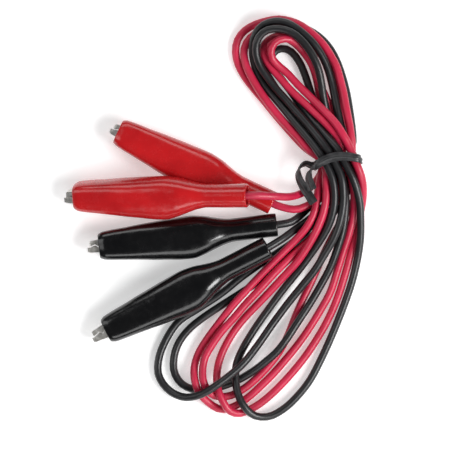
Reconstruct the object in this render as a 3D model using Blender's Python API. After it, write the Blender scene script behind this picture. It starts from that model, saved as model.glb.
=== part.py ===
"""A red and a black clip lead, tied together in one hank.

Each lead is an insulated wire with an alligator clip in a soft boot on both ends. The clips lie on
their sides, so that every jaw swings about an upright pin, and the leads are wound into loops that
a twist tie holds at the waist. +Z is up, the clips point to -X, and the object lies on z = 0.
"""

import math

import bmesh
import bpy
import numpy as np
from mathutils import Euler, Matrix, Vector

# Everything below is in millimetres; add_object turns it into metres.
MM = 0.001
CLEAR = 0.3

# The lead.
WIRE_RADIUS = 1.0
TUBE_RADIUS = 0.9
TUBE_STEP = 4.0
TUBES_PER_LEAD = 3
CORE_RADIUS = 0.5
REST_HEIGHT = 1.05
STRAND_GAP = 2.3
TIGHTEST_BEND = 4.2
# Strands that meet move apart sideways and upwards in these parts, so that they pile up.
PILE_UP = (0.6, 0.6, 1.6)

# The clip, in its own frame: x runs from the boot's neck end to the jaw tips, y is the way the jaw
# opens, and z is the hinge's axis.
BOOT_WALL = 0.55
BOOT_SIDES = 16
SHEET = 0.45
PIVOT_X = 26.5
PIN_RADIUS = 0.8
PIN_HOLE = 1.1
PIN_HALF = 3.22
LOWER_HALF = 2.05
UPPER_HALF = 2.8
TOOTH_PITCH = 1.75
TOOTH_DEPTH = 0.7
TEETH_FROM = 34.5
TEETH = 6
CRIMP_X = 11.6
CRIMP_LENGTH = 2.0
CRIMP_Y = -0.1
INSULATION_END = 14.0
CORE_END = 15.7
SPRING_RADIUS = 1.35
SPRING_WIRE = 0.25
SPRING_TURNS = 3.5

# x, half height on the hinge's fixed side, half height on the moving side, half thickness, squareness.
BOOT_SECTIONS = (
    (0.0, 3.0, 3.0, 3.0, 2.0),
    (10.5, 3.0, 3.0, 3.0, 2.0),
    (12.5, 3.2, 3.3, 3.1, 2.2),
    (15.5, 3.9, 4.3, 3.7, 2.4),
    (18.0, 4.6, 5.2, 4.0, 2.6),
    (21.5, 5.0, 6.1, 4.0, 2.6),
    (30.0, 4.6, 5.4, 4.0, 2.6),
    (37.0, 4.1, 4.5, 3.65, 2.8),
    (43.8, 3.55, 3.65, 3.3, 3.0),
    (45.0, 3.0, 3.15, 2.9, 3.0),
)

# x, floor, wall edge, half width, floor thickness.
LOWER_JAW_BACK = (
    (11.5, -1.6, -0.4, 1.55, SHEET),
    (14.5, -1.6, -0.4, 1.55, SHEET),
    (16.0, -2.2, -0.9, 1.8, SHEET),
    (18.0, -3.1, -1.4, LOWER_HALF, SHEET),
    (21.0, -3.7, -1.6, LOWER_HALF, SHEET),
    (23.8, -3.7, -0.6, LOWER_HALF, SHEET),
    (24.8, -3.6, 1.1, LOWER_HALF, SHEET),
    (25.8, -3.5, 1.7, LOWER_HALF, SHEET),
    (27.2, -3.45, 1.7, LOWER_HALF, SHEET),
    (28.2, -3.4, 1.1, LOWER_HALF, SHEET),
    (29.6, -3.3, -0.8, LOWER_HALF, SHEET),
    (33.6, -2.9, -0.7, 1.95, SHEET),
)
LOWER_JAW_TIP = (
    (46.0, -1.45, -0.15, 1.4, SHEET),
    (46.4, -1.2, -0.15, 1.3, 0.7),
)
UPPER_JAW_BACK = (
    (16.5, 2.9, 2.1, 1.8, SHEET),
    (17.4, 3.3, 2.2, 1.9, SHEET),
    (21.0, 4.2, 2.3, 2.3, SHEET),
    (23.6, 3.4, 1.2, UPPER_HALF, SHEET),
    (24.9, 3.2, -1.1, UPPER_HALF, SHEET),
    (25.8, 3.1, -1.7, UPPER_HALF, SHEET),
    (27.2, 3.05, -1.7, UPPER_HALF, SHEET),
    (28.1, 3.0, -1.1, UPPER_HALF, SHEET),
    (29.0, 3.0, 0.9, 2.6, SHEET),
    (33.6, 2.85, 0.8, 2.1, SHEET),
)
UPPER_JAW_TIP = (
    (46.4, 1.45, 0.15, 1.4, SHEET),
    (47.0, 1.2, 0.15, 1.3, 0.7),
)

# name, colour, neck end's place, roll, nose-down tilt and heading in degrees, how much shorter its
# neck is cut, and how far its clip is pushed forward in the boot.
CLIPS = (
    ("front_red", "red", (9.1, 9.0, 13.5), (-18.0, 12.7, 180.0), 0.0, 0.5),
    ("rear_red", "red", (17.0, 6.45, 4.0), (0.0, 0.0, 155.0), 1.6, -0.1),
    ("upper_black", "black", (16.0, 1.6, 4.0), (0.0, 0.0, 186.8), -0.6, 0.9),
    ("lower_black", "black", (13.1, -4.8, 6.06), (0.0, 3.6, 207.1), -1.4, 1.9),
)

# The tie: the waist's centre, the way across it, and the strands' rows, which sit in each other's gaps.
TIE_CENTRE = (31.9, 17.9)
TIE_ACROSS = (0.973, 0.231)
TIE_ROWS = (1.6, 3.5, 5.4, 7.3)
TIE_WIDTH = 2.3
TIE_THICKNESS = 0.4
TIE_INSIDE = (-5.8, 5.7, 0.45, 9.3)
TIE_CORNER = 1.5
CORNER_STEPS = 5
FLAT_STEPS = 6
# How far the band's middle and its right end lie along the strands from a straight line across them.
TIE_BOW = 1.6
TIE_LEAN = -1.1
# The two ends of the tie: points along the middle of the ribbon, and which way its width runs.
LONG_TAIL = (
    ((25.1, 16.8, 6.0), (0.1, 0.6, 0.8)),
    ((23.9, 17.2, 6.2), (0.0, 0.6, 0.8)),
    ((22.6, 16.5, 6.4), (0.5, 0.5, 0.7)),
    ((22.0, 15.2, 6.6), (0.9, 0.1, 0.4)),
    ((22.2, 13.4, 6.9), (0.97, 0.2, 0.1)),
    ((23.3, 11.2, 7.6), (0.9, 0.4, 0.1)),
    ((24.6, 9.2, 7.9), (0.84, 0.54, 0.1)),
    ((25.9, 7.1, 8.0), (0.84, 0.54, 0.2)),
)
SHORT_TAIL = (
    ((25.4, 15.8, 8.9), (0.6, 0.3, 0.7)),
    ((24.8, 14.9, 9.0), (0.8, 0.2, 0.5)),
    ((24.6, 13.6, 9.1), (0.95, 0.1, 0.3)),
    ((25.0, 12.0, 9.3), (0.95, 0.2, 0.2)),
    ((25.5, 10.5, 9.5), (0.95, 0.25, 0.2)),
)

RED_BOOT = (0.60, 0.012, 0.014)
BLACK_BOOT = (0.006, 0.006, 0.007)
RED_WIRE = (0.55, 0.012, 0.04)
BLACK_WIRE = (0.018, 0.018, 0.02)
TIE_COLOUR = (0.02, 0.02, 0.022)
NICKEL = (0.62, 0.60, 0.56)
SPRING_STEEL = (0.45, 0.45, 0.47)
COPPER = (0.72, 0.38, 0.22)


def clear_scene():
    for obj in list(bpy.data.objects):
        bpy.data.objects.remove(obj, do_unlink=True)


def make_material(name, colour, roughness, metallic=0.0):
    material = bpy.data.materials.new(name)
    material.use_nodes = True
    shader = material.node_tree.nodes["Principled BSDF"]
    shader.inputs["Base Color"].default_value = (*colour, 1.0)
    shader.inputs["Roughness"].default_value = roughness
    shader.inputs["Metallic"].default_value = metallic
    material.diffuse_color = (*colour, 1.0)
    return material


def add_object(name, data, material=None, parent=None):
    obj = bpy.data.objects.new(name, data)
    bpy.context.scene.collection.objects.link(obj)
    if material:
        data.materials.append(material)
    obj.parent = parent
    return obj


def add_frame(name, matrix, parent=None):
    """An empty that other objects hang on, placed by a matrix in millimetres."""
    empty = add_object(name, None, parent=parent)
    empty.matrix_basis = Matrix.Translation(matrix.to_translation() * MM) @ matrix.to_3x3().to_4x4()
    return empty


def mesh_of_rings(name, rings, closed=False):
    """A skin over equal rings of points, in millimetres, with flat ends unless it closes on itself."""
    bm = bmesh.new()
    loops = [[bm.verts.new(Vector(point) * MM) for point in ring] for ring in rings]
    pairs = list(zip(loops, loops[1:]))
    if closed:
        pairs.append((loops[-1], loops[0]))
    for first, second in pairs:
        for k in range(len(first)):
            after = (k + 1) % len(first)
            bm.faces.new((first[k], first[after], second[after], second[k]))
    if not closed:
        bm.faces.new(reversed(loops[0]))
        bm.faces.new(loops[-1])
    bmesh.ops.recalc_face_normals(bm, faces=bm.faces)
    mesh = bpy.data.meshes.new(name)
    bm.to_mesh(mesh)
    bm.free()
    return mesh


def shade(mesh, degrees):
    mesh.shade_smooth()
    mesh.set_sharp_from_angle(angle=math.radians(degrees))


def add_tube(name, points, radius, resolution, material, parent=None):
    """A round bar along a list of points, with filled ends."""
    curve = bpy.data.curves.new(name, "CURVE")
    curve.dimensions = "3D"
    curve.bevel_depth = radius * MM
    curve.bevel_resolution = resolution
    curve.use_fill_caps = True
    spline = curve.splines.new("POLY")
    spline.points.add(len(points) - 1)
    for target, point in zip(spline.points, points):
        target.co = (*(Vector(point) * MM), 1.0)
    spline.use_smooth = True
    return add_object(name, curve, material, parent)


def add_cutter(name, mesh, parent):
    cutter = add_object(name, mesh, parent=parent)
    cutter.hide_render = True
    cutter.display_type = "WIRE"
    return cutter


def add_boolean(obj, other, operation):
    modifier = obj.modifiers.new(other.name, "BOOLEAN")
    modifier.operation = operation
    modifier.object = other


# ---- the clip ------------------------------------------------------------------------------------


def boot_ring(x, low, high, half_thick, power):
    """One cross-section of the boot, a rounded box with a flat underside."""
    flat = math.sin(math.pi / 2 - math.pi / BOOT_SIDES) ** (2 / power)
    ring = []
    for k in range(BOOT_SIDES):
        angle = 2 * math.pi * (k + 0.5) / BOOT_SIDES
        c, s = math.cos(angle), math.sin(angle)
        reach = high if c > 0 else low
        y = math.copysign(abs(c) ** (2 / power), c) * reach
        z = math.copysign(abs(s) ** (2 / power), s) * half_thick / flat
        ring.append((x, y, z))
    return ring


def make_boot(name, neck_cut, material, parent):
    """A sleeve that is open at the neck and at the nose."""
    sections = [(neck_cut, *BOOT_SECTIONS[0][1:])] + list(BOOT_SECTIONS[1:])
    outer = [boot_ring(*section) for section in sections]
    inner = [
        boot_ring(x, low - BOOT_WALL, high - BOOT_WALL, thick - BOOT_WALL, power)
        for x, low, high, thick, power in sections
    ]
    mesh = mesh_of_rings(name, outer + inner[::-1], closed=True)
    shade(mesh, 50)
    return add_object(name, mesh, material, parent)


def channel_ring(x, floor, edge, half, thickness):
    """A U of sheet metal: from one wall's edge round the floor to the other's."""
    inside = floor + math.copysign(thickness, edge - floor)
    return (
        (x, edge, -half),
        (x, floor, -half),
        (x, floor, half),
        (x, edge, half),
        (x, edge, half - SHEET),
        (x, inside, half - SHEET),
        (x, inside, SHEET - half),
        (x, edge, SHEET - half),
    )


def toothed(side, floor_from, floor_to, half_from, half_to):
    """The jaw's serrated stretch. The lower teeth reach into the gaps between the upper ones."""
    middle = -0.05 + side * CLEAR / 2
    sections = []
    steps = 2 * TEETH
    for k in range(steps + 1):
        along = k / steps
        edge = middle + (TOOTH_DEPTH / 2 if k % 2 else -TOOTH_DEPTH / 2)
        floor = floor_from + (floor_to - floor_from) * along
        half = half_from + (half_to - half_from) * along
        sections.append((TEETH_FROM + k * TOOTH_PITCH / 2, floor, edge, half, SHEET))
    return tuple(sections)


def round_bar(name, sections, sides=12):
    """A turned shape about z, from (height, radius) pairs."""
    rings = []
    for z, radius in sections:
        angles = [2 * math.pi * k / sides for k in range(sides)]
        rings.append([(radius * math.cos(a), radius * math.sin(a), z) for a in angles])
    return mesh_of_rings(name, rings)


def crimp_mesh(name):
    """The two tabs at the jaw's tail, curled round the insulation until they nearly meet."""
    arc_steps = 12
    start, stop = math.radians(-255), math.radians(75)
    inside, outside = WIRE_RADIUS + CLEAR, WIRE_RADIUS + CLEAR + 0.35
    rings = []
    for k in range(arc_steps + 1):
        angle = start + (stop - start) * k / arc_steps
        c, s = math.cos(angle), math.sin(angle)
        rings.append(
            [
                (CRIMP_X, CRIMP_Y + r * s, r * c) if end == 0
                else (CRIMP_X + CRIMP_LENGTH, CRIMP_Y + r * s, r * c)
                for r, end in ((inside, 0), (outside, 0), (outside, 1), (inside, 1))
            ]
        )
    return mesh_of_rings(name, rings)


def make_lower_jaw(name, material, parent, hinge):
    sections = LOWER_JAW_BACK + toothed(-1, -2.85, -1.55, 1.9, 1.5) + LOWER_JAW_TIP
    mesh = mesh_of_rings(name, [channel_ring(*section) for section in sections])
    shade(mesh, 35)
    jaw = add_object(name, mesh, material, parent)
    add_boolean(jaw, add_cutter(name + "_tabs", crimp_mesh(name + "_tabs"), parent), "UNION")
    add_boolean(jaw, add_pin_hole(name, hinge), "DIFFERENCE")
    return jaw


def make_upper_jaw(name, material, hinge):
    """The jaw that swings. Its mesh is drawn about the hinge, where its origin is."""
    sections = UPPER_JAW_BACK + toothed(1, 2.85, 1.55, 2.05, 1.5) + UPPER_JAW_TIP
    rings = [
        [(px - PIVOT_X, py, pz) for px, py, pz in channel_ring(*section)] for section in sections
    ]
    mesh = mesh_of_rings(name, rings)
    shade(mesh, 35)
    jaw = add_object(name, mesh, material, hinge)
    add_boolean(jaw, add_pin_hole(name, hinge), "DIFFERENCE")
    return jaw


def add_pin_hole(jaw_name, hinge):
    mesh = round_bar(jaw_name + "_hole", ((-5.0, PIN_HOLE), (5.0, PIN_HOLE)))
    return add_cutter(jaw_name + "_hole", mesh, hinge)


def make_pin(name, material, hinge):
    head, head_radius = 0.22, 1.45
    sections = (
        (-PIN_HALF, head_radius),
        (-PIN_HALF + head, head_radius),
        (-PIN_HALF + head, PIN_RADIUS),
        (PIN_HALF - head, PIN_RADIUS),
        (PIN_HALF - head, head_radius),
        (PIN_HALF, head_radius),
    )
    mesh = round_bar(name, sections)
    shade(mesh, 35)
    return add_object(name, mesh, material, hinge)


def spring_points():
    """A coil about the pin, with a leg to each jaw's handle."""
    steps_per_turn = 8
    half_width = 1.2
    leg_x = -6.8
    steps = int(SPRING_TURNS * steps_per_turn)
    points = [(leg_x, 2.75, -half_width)]
    for k in range(steps + 1):
        angle = math.pi / 2 - 2 * math.pi * k / steps_per_turn
        z = -half_width + 2 * half_width * k / steps
        points.append((SPRING_RADIUS * math.cos(angle), SPRING_RADIUS * math.sin(angle), z))
    points.append((leg_x, -2.5, half_width))
    return points


def clip_matrix(place, turns):
    turn = Euler([math.radians(angle) for angle in turns])
    return Matrix.Translation(place) @ turn.to_matrix().to_4x4()


def make_clip(name, place, turns, neck_cut, push, boot_material, metal):
    """All of one clip, hung on an empty at its boot's neck end, and its jaw on one at the hinge."""
    nickel, steel, copper = metal
    frame = add_frame(name + "_frame", clip_matrix(place, turns))
    works = add_frame(name + "_works", Matrix.Translation((push, 0.0, 0.0)), frame)
    hinge = add_frame(name + "_hinge", Matrix.Translation((PIVOT_X, 0.0, 0.0)), works)
    make_boot(name + "_boot", neck_cut, boot_material, frame)
    make_lower_jaw(name + "_lower_jaw", nickel, works, hinge)
    make_upper_jaw(name + "_upper_jaw", nickel, hinge)
    make_pin(name + "_pivot_pin", steel, hinge)
    add_tube(name + "_spring", spring_points(), SPRING_WIRE, 1, steel, hinge)
    core = (
        (INSULATION_END + CLEAR, CRIMP_Y, 0.0),
        (CORE_END - 0.6, CRIMP_Y - 0.35, 0.0),
        (CORE_END, CRIMP_Y - 0.75, 0.0),
    )
    add_tube(name + "_wire_core", core, CORE_RADIUS, 2, copper, works)


# ---- the leads -----------------------------------------------------------------------------------


def tie_slot(across, row):
    """Where a strand passes through the waist."""
    return (
        TIE_CENTRE[0] + across * TIE_ACROSS[0],
        TIE_CENTRE[1] + across * TIE_ACROSS[1],
        TIE_ROWS[row],
    )


def clip_exit(name):
    """The last stretch of a lead, from inside the crimp to the neck's end, as route points."""
    _, _, place, turns, _, push = next(clip for clip in CLIPS if clip[0] == name)
    matrix = clip_matrix(place, turns)
    inside = (
        (INSULATION_END + push, CRIMP_Y, 0.0),
        (CRIMP_X + push, CRIMP_Y, 0.0),
        (5.5, -0.1, 0.0),
        (0.0, 0.0, 0.0),
    )
    return [tuple(matrix @ Vector(point)) for point in inside]


def red_route():
    """The red lead's points, from the front red clip to the rear one."""
    return [
        *clip_exit("front_red"),
        # front red clip -> tie (inner right leg)
        (12.8, 9.0, 12.9), (16.4, 8.6, 11.3), (19.9, 8.2, 7.4), (22.9, 8.9, 4.0), (25.4, 10.7, 2.2),
        (27.3, 13.4, 1.6),
        tie_slot(-3.85, 0),
        # inner_1 right leg up, over, red3 left leg down
        (28.8, 21.2, 1.6), (28.8, 25.8, 1.3), (28.6, 30.4, 1.2), (27.8, 34.9, 1.2), (26.8, 39.5, 1.2),
        (25.3, 43.3, 1.2), (23.2, 46.1, 1.2), (21.2, 48.2, 1.8), (18.8, 49.7, 2.8), (16.6, 50.0, 3.2),
        (14.4, 49.0, 3.2), (13.1, 47.1, 3.2),
        (13.1, 44.8, 3.4), (14.5, 42.2, 3.4), (16.9, 39.0, 3.4), (19.7, 35.4, 3.4), (23.0, 31.9, 4.0),
        (26.5, 28.1, 5.4), (29.6, 24.5, 6.6), (31.9, 21.2, 6.2),
        tie_slot(0.55, 2),
        # R2 down right, bottom, RA1 left up
        (34.7, 14.6, 4.6), (35.9, 11.0, 4.0), (36.4, 7.2, 3.0), (36.2, 3.2, 2.2), (35.2, -1.1, 1.6),
        (33.7, -5.7, 1.2), (32.1, -10.5, 1.1), (30.4, -15.4, 1.1), (27.8, -19.9, 1.1), (24.8, -24.5, 1.1),
        (21.7, -28.6, 1.1), (18.4, -32.4, 1.1), (15.6, -35.4, 1.1), (12.8, -38.2, 1.1), (10.3, -40.8, 1.1),
        (8.0, -42.8, 1.1), (5.2, -44.6, 1.1), (2.2, -45.2, 1.1),
        (-0.9, -43.3, 1.6), (-3.2, -40.5, 3.2), (-4.2, -37.0, 3.2), (-4.1, -33.7, 1.6), (-2.9, -30.4, 1.1),
        (-0.6, -26.8, 1.1), (2.7, -22.5, 1.1), (6.0, -18.4, 1.1), (9.3, -14.9, 1.1), (13.1, -11.0, 1.6),
        (17.4, -6.7, 2.2), (21.2, -2.9, 2.6), (24.5, 0.9, 3.6), (26.3, 4.4, 3.8), (27.1, 8.0, 3.4),
        (27.6, 11.3, 3.4), (28.3, 14.6, 3.5),
        tie_slot(-2.75, 1),
        # red2 left leg up, over, outer_2 right leg down
        (24.5, 21.0, 2.8), (21.5, 24.1, 2.0), (18.7, 27.3, 1.4), (16.1, 30.4, 1.1), (13.7, 33.4, 1.1),
        (11.6, 35.9, 1.1), (9.4, 38.7, 1.1), (7.6, 41.8, 1.1), (6.6, 45.1, 1.1), (6.9, 48.1, 1.1),
        (8.5, 50.4, 1.1), (11.0, 51.9, 1.1), (14.1, 52.8, 1.4), (17.1, 53.1, 2.4), (19.9, 52.7, 3.2),
        (22.5, 51.7, 3.2), (25.3, 49.7, 3.2), (27.8, 47.2, 3.2), (29.7, 44.3, 3.2), (31.1, 41.4, 3.2),
        (31.9, 38.2, 3.2), (32.6, 34.9, 3.2), (33.0, 31.9, 3.4), (33.5, 28.1, 4.0), (33.9, 24.5, 4.8),
        (34.3, 21.2, 5.3),
        tie_slot(2.75, 2),
        # R1 down, crosses under, bottom, RA2 left up
        (36.1, 15.1, 4.6), (36.4, 11.6, 3.0), (35.6, 8.0, 1.6), (33.8, 4.4, 1.1), (31.6, 0.6, 1.1),
        (29.6, -3.4, 1.1), (27.7, -7.7, 1.1), (25.7, -12.6, 1.1), (23.5, -17.4, 1.1), (21.5, -22.2, 1.1),
        (19.7, -26.8, 1.1), (17.4, -31.1, 1.1), (14.6, -34.7, 1.1), (11.3, -38.0, 1.1), (8.0, -40.4, 1.1),
        (5.0, -41.8, 1.1), (1.9, -42.0, 1.4),
        (-0.6, -40.8, 2.8), (-2.2, -38.2, 3.6), (-2.5, -35.2, 3.2), (-1.9, -31.9, 2.8), (-0.1, -28.6, 2.8),
        (2.4, -25.0, 2.8), (5.5, -21.5, 2.8), (8.5, -17.9, 2.8), (11.8, -14.4, 2.8), (15.6, -10.3, 2.8),
        (19.9, -6.2, 3.0), (23.7, -2.5, 3.2), (27.1, 1.1, 3.2), (29.8, 5.0, 3.2), (31.6, 9.0, 3.4),
        (32.9, 13.6, 3.5),
        tie_slot(1.65, 1),
        # inner_2 right leg up, over, red4 left leg down
        (32.1, 21.2, 3.0), (31.1, 24.8, 2.4), (29.8, 28.8, 2.0), (28.3, 32.9, 1.8), (26.8, 36.7, 1.8),
        (25.8, 40.0, 1.8), (24.5, 43.3, 1.8), (22.8, 46.1, 1.8), (20.6, 48.3, 3.6), (18.2, 49.0, 5.0),
        (15.9, 48.2, 5.2), (14.7, 46.2, 5.2),
        (15.1, 43.9, 4.6), (16.6, 42.0, 3.8), (18.9, 40.0, 3.4), (21.5, 37.1, 3.4), (24.3, 34.2, 4.0),
        (27.3, 31.0, 5.2), (30.4, 27.8, 6.8), (32.9, 24.3, 8.0), (34.7, 21.2, 7.8),
        tie_slot(3.85, 3),
        # R3 down the right edge, bottom, RB left up
        (37.0, 15.1, 6.4), (37.7, 11.8, 4.8), (37.7, 8.3, 3.0), (37.1, 4.4, 1.6), (36.2, -0.1, 1.2),
        (35.2, -5.2, 1.1), (33.9, -11.0, 1.1), (32.1, -17.4, 1.1), (29.6, -23.0, 1.1), (26.8, -27.8, 1.1),
        (24.0, -31.9, 1.1), (21.2, -35.4, 1.1), (18.2, -38.7, 1.1), (15.0, -41.8, 1.1), (12.1, -44.1, 1.1),
        (9.0, -45.8, 1.1), (6.5, -46.5, 1.4),
        (4.4, -45.6, 2.4), (2.7, -43.3, 3.2), (1.4, -40.3, 3.2), (1.1, -36.7, 1.8), (1.7, -33.1, 1.1),
        (3.2, -29.3, 1.1), (5.5, -25.3, 1.1), (8.0, -22.0, 1.1), (11.0, -18.7, 1.1), (14.4, -14.9, 1.2),
        (17.7, -11.0, 1.6), (21.0, -7.0, 2.6), (24.0, -2.7, 3.8), (26.5, 1.7, 4.8), (28.1, 6.0, 5.4),
        (28.6, 10.0, 5.6), (28.3, 13.6, 5.6),
        tie_slot(-3.85, 2),
        # red1 left leg up, over, outer_1 right leg down
        (24.3, 21.2, 4.9), (22.0, 24.8, 4.2), (19.7, 27.9, 3.4), (17.3, 31.1, 2.8), (14.9, 34.2, 2.4),
        (12.8, 37.0, 2.2), (10.8, 40.3, 2.0), (9.5, 43.3, 1.6), (9.1, 46.4, 1.2), (9.8, 48.6, 1.2),
        (11.4, 50.3, 1.2), (13.8, 51.3, 1.2), (16.6, 51.7, 2.2), (19.4, 51.1, 3.2),
        (22.0, 49.7, 2.8), (24.6, 47.8, 1.4), (26.9, 45.8, 1.2), (28.8, 43.1, 1.2), (30.1, 40.0, 1.2),
        (30.9, 36.4, 1.2), (31.6, 32.6, 1.2), (32.3, 28.8, 1.4), (32.8, 25.0, 1.6), (33.0, 21.5, 1.6),
        tie_slot(0.55, 0),
        # tie -> rear red clip
        (32.4, 14.4, 1.6), (30.6, 11.3, 1.6), (28.1, 8.8, 2.8), (25.0, 6.9, 3.4), (21.5, 5.6, 3.9),
        *reversed(clip_exit("rear_red")),
    ]


def black_route():
    """The black lead's points, from the upper black clip to the lower one."""
    return [
        *clip_exit("upper_black"),
        # front (upper) black clip -> tie slot b
        (20.6, 2.5, 3.2), (23.2, 4.6, 1.8), (25.4, 7.0, 1.2),
        (27.3, 9.9, 1.2), (29.1, 13.6, 1.5),
        tie_slot(-1.65, 0),
        # b right leg up, over, black2 left leg down
        (31.1, 21.5, 1.6), (30.5, 25.8, 1.8), (29.7, 30.4, 2.4), (28.7, 34.9, 3.2), (28.1, 38.5, 3.8),
        (27.2, 42.0, 4.6), (25.4, 45.6, 5.0), (23.0, 48.6, 5.0), (20.2, 50.7, 5.0), (16.9, 51.6, 5.0),
        (13.8, 51.1, 5.0), (11.9, 49.1, 4.6),
        (11.4, 46.1, 3.8), (12.4, 42.5, 3.2), (14.4, 39.2, 3.0), (16.6, 36.2, 3.0), (19.2, 33.1, 3.4),
        (21.7, 30.1, 4.2), (24.8, 26.8, 5.2), (27.6, 23.7, 6.4), (29.8, 21.0, 7.2),
        tie_slot(-0.55, 3),
        # A-right down, bottom, A-left up
        (32.9, 14.6, 7.0), (33.5, 10.5, 6.4), (33.4, 6.5, 5.8), (32.6, 2.4, 5.2), (31.1, -1.7, 4.6),
        (28.8, -5.7, 4.0), (26.3, -9.8, 3.6), (23.1, -13.8, 3.2), (19.7, -18.0, 2.8), (15.6, -23.5, 2.6),
        (11.6, -29.2, 3.4), (8.3, -33.3, 4.6), (5.0, -36.3, 4.8), (1.4, -39.0, 5.2), (-2.7, -41.4, 5.0),
        (-7.1, -42.2, 2.6), (-11.0, -40.4, 1.2), (-13.5, -36.7, 1.1), (-13.5, -32.6, 1.1), (-11.7, -27.8, 1.1),
        (-8.5, -23.1, 1.1), (-3.4, -19.7, 1.1), (2.4, -15.9, 1.1), (7.7, -11.6, 1.1), (13.2, -7.7, 1.1),
        (17.4, -4.9, 1.1), (21.2, -2.1, 1.1), (24.3, 0.8, 1.4), (27.1, 3.6, 2.6), (29.1, 7.0, 3.2),
        (30.4, 10.8, 3.4), (30.9, 14.6, 3.5),
        tie_slot(-0.55, 1),
        # a right leg up, over, black4 left leg down
        (30.9, 21.2, 3.2), (29.8, 25.3, 2.8), (28.6, 29.3, 2.4), (27.1, 33.4, 1.8), (25.7, 37.0, 1.4),
        (24.4, 40.3, 1.2), (22.9, 43.3, 1.2), (21.0, 45.6, 1.2), (18.6, 46.8, 1.2), (16.2, 46.2, 1.2),
        (14.7, 44.2, 1.2),
        (15.2, 41.8, 1.2), (17.2, 39.4, 1.2), (20.2, 35.8, 1.2), (22.7, 32.6, 1.8), (25.5, 29.3, 3.0),
        (28.3, 26.0, 4.6), (30.6, 23.0, 6.4), (32.6, 20.4, 7.2),
        tie_slot(1.65, 3),
        # C-right down, bottom, C-left up
        (35.4, 14.9, 7.0), (36.8, 11.3, 6.0), (37.6, 7.2, 5.0), (37.7, 2.9, 3.8), (37.5, -1.7, 2.6),
        (36.7, -6.5, 1.4), (35.3, -12.3, 1.1), (33.1, -18.7, 1.1), (30.6, -25.5, 1.1), (27.8, -32.1, 1.1),
        (24.8, -38.0, 1.1), (21.7, -42.0, 1.1), (18.4, -45.1, 1.1), (14.6, -47.1, 1.2),
        (11.0, -46.9, 2.0), (8.4, -44.7, 3.2), (6.7, -41.4, 3.2), (6.1, -37.7, 2.8), (6.3, -34.0, 2.2),
        (7.6, -30.6, 1.4), (10.7, -25.3, 1.1), (14.6, -19.7, 1.1), (18.4, -14.6, 1.4), (22.1, -10.0, 2.0),
        (24.9, -6.2, 3.0), (27.6, -2.3, 4.2), (29.7, 1.4, 5.4), (31.0, 5.5, 6.4), (31.4, 9.3, 7.0),
        (30.9, 13.3, 7.3),
        tie_slot(-2.75, 3),
        # black1 left leg up, over, c right leg down
        (26.5, 21.5, 6.4), (23.5, 24.8, 5.2), (20.7, 27.8, 4.2), (18.2, 30.6, 3.2), (15.6, 33.7, 2.2),
        (13.3, 36.7, 1.4), (11.4, 39.9, 1.2), (10.0, 43.3, 1.6), (9.7, 46.4, 2.6), (10.4, 49.4, 4.2),
        (12.3, 51.7, 5.0), (15.1, 52.8, 5.0), (18.2, 52.6, 5.0), (21.0, 51.2, 5.0), (23.5, 49.3, 5.0),
        (25.8, 47.0, 4.8), (27.7, 44.2, 4.2), (29.1, 41.0, 3.6), (30.0, 37.7, 3.2), (30.6, 34.2, 3.2),
        (31.2, 30.4, 3.2), (32.0, 26.5, 3.2), (33.1, 22.5, 3.4),
        tie_slot(3.85, 1),
        # B-left down (hidden), bottom, B-right up
        (35.2, 14.9, 3.2), (34.2, 10.8, 2.2), (31.9, 6.5, 1.2), (28.6, 2.2, 1.1), (24.8, -1.9, 1.1),
        (20.2, -5.9, 1.1), (15.8, -9.9, 1.1), (11.9, -13.1, 1.1), (7.3, -16.2, 1.1), (2.6, -19.2, 1.1),
        (-1.9, -22.2, 1.1), (-5.6, -25.2, 1.1), (-8.3, -28.8, 1.1), (-9.5, -32.6, 1.1), (-9.4, -36.4, 1.1),
        (-7.4, -39.5, 1.1), (-4.2, -41.0, 1.1), (-0.9, -41.1, 1.1), (2.4, -40.3, 1.1), (5.5, -39.1, 1.2),
        (8.5, -37.5, 1.6), (11.3, -35.6, 2.2), (13.8, -33.5, 3.0), (16.6, -30.9, 3.2), (19.4, -27.1, 3.2),
        (22.2, -22.7, 2.4), (25.3, -18.0, 1.4), (28.1, -13.3, 1.4), (30.4, -9.0, 2.0), (32.1, -4.4, 2.8),
        (33.4, 0.1, 3.4), (34.0, 5.0, 4.0), (33.9, 9.5, 4.6), (32.6, 14.1, 5.2),
        tie_slot(-1.65, 2),
        # black3 left leg up, over, d right leg down
        (28.1, 21.5, 5.4), (25.3, 24.8, 4.2), (22.6, 27.8, 3.0), (20.2, 30.9, 2.0), (17.8, 33.9, 1.4),
        (15.7, 37.0, 1.2), (13.8, 40.5, 1.2), (12.8, 44.1, 1.2), (13.2, 47.1, 1.2), (15.1, 49.0, 1.2),
        (17.7, 50.0, 1.2), (20.4, 51.3, 1.2),
        (23.5, 51.6, 1.2), (26.8, 49.9, 1.3), (29.6, 47.1, 1.4), (31.5, 43.7, 1.4), (32.8, 39.9, 1.4),
        (33.8, 35.7, 1.4), (34.4, 31.5, 1.4), (34.8, 27.6, 1.4), (35.1, 23.2, 1.5),
        tie_slot(2.75, 0),
        # tie -> lower black clip
        (33.1, 14.6, 1.4), (30.9, 10.8, 1.1), (28.3, 7.4, 1.1), (25.8, 4.6, 1.1), (23.1, 2.1, 1.8),
        (20.4, 0.0, 3.6), (17.5, -2.2, 5.1),
        *reversed(clip_exit("lower_black")),
    ]


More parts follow.
